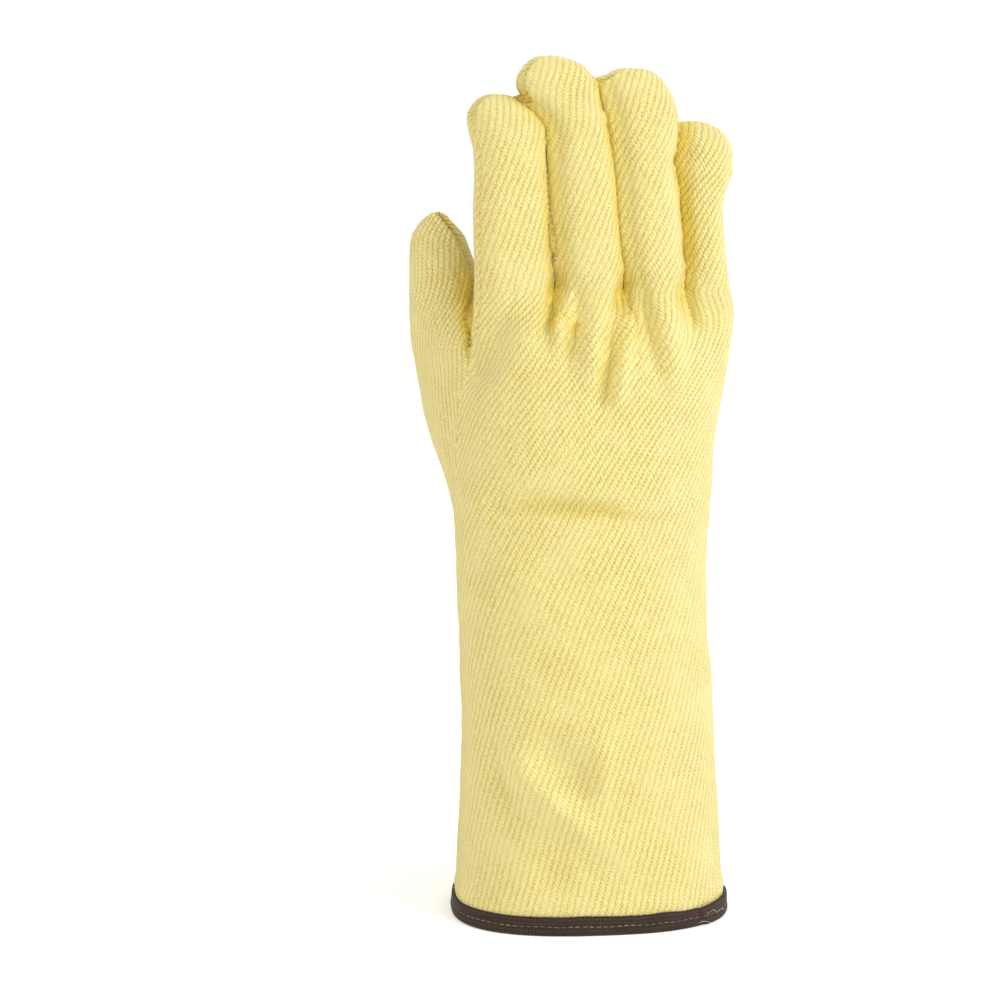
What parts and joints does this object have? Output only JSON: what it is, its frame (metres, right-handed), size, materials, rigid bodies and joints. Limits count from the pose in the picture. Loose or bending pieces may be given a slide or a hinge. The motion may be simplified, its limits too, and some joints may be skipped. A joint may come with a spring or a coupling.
{
  "type": "heat-resistant work glove",
  "caption": "Right-hand gauntlet glove of thick aramid twill with a wide cuff and a dark bound hem, hollow where the hand goes in.",
  "frame": {"origin": "centre of the hand opening, in the plane of the hem's edge", "axes": "+Z from the opening to the fingertips, -Y out of the back of the hand, -X towards the thumb"},
  "size_m": [0.1321, 0.0853, 0.357],
  "materials": {
    "twill": "thick pale yellow aramid twill with a soft nap and diagonal ribs",
    "binding": "dark brown woven tape folded over the hem"
  },
  "bodies": {
    "root": {"back_panel": "twill", "index_back": "twill", "middle_back": "twill", "ring_back": "twill", "little_back": "twill", "palm_panel": "twill", "finger_fronts": "twill", "thumb_back": "twill", "cuff_panel": "twill", "hem_binding": "binding"}
  },
  "joints": []
}
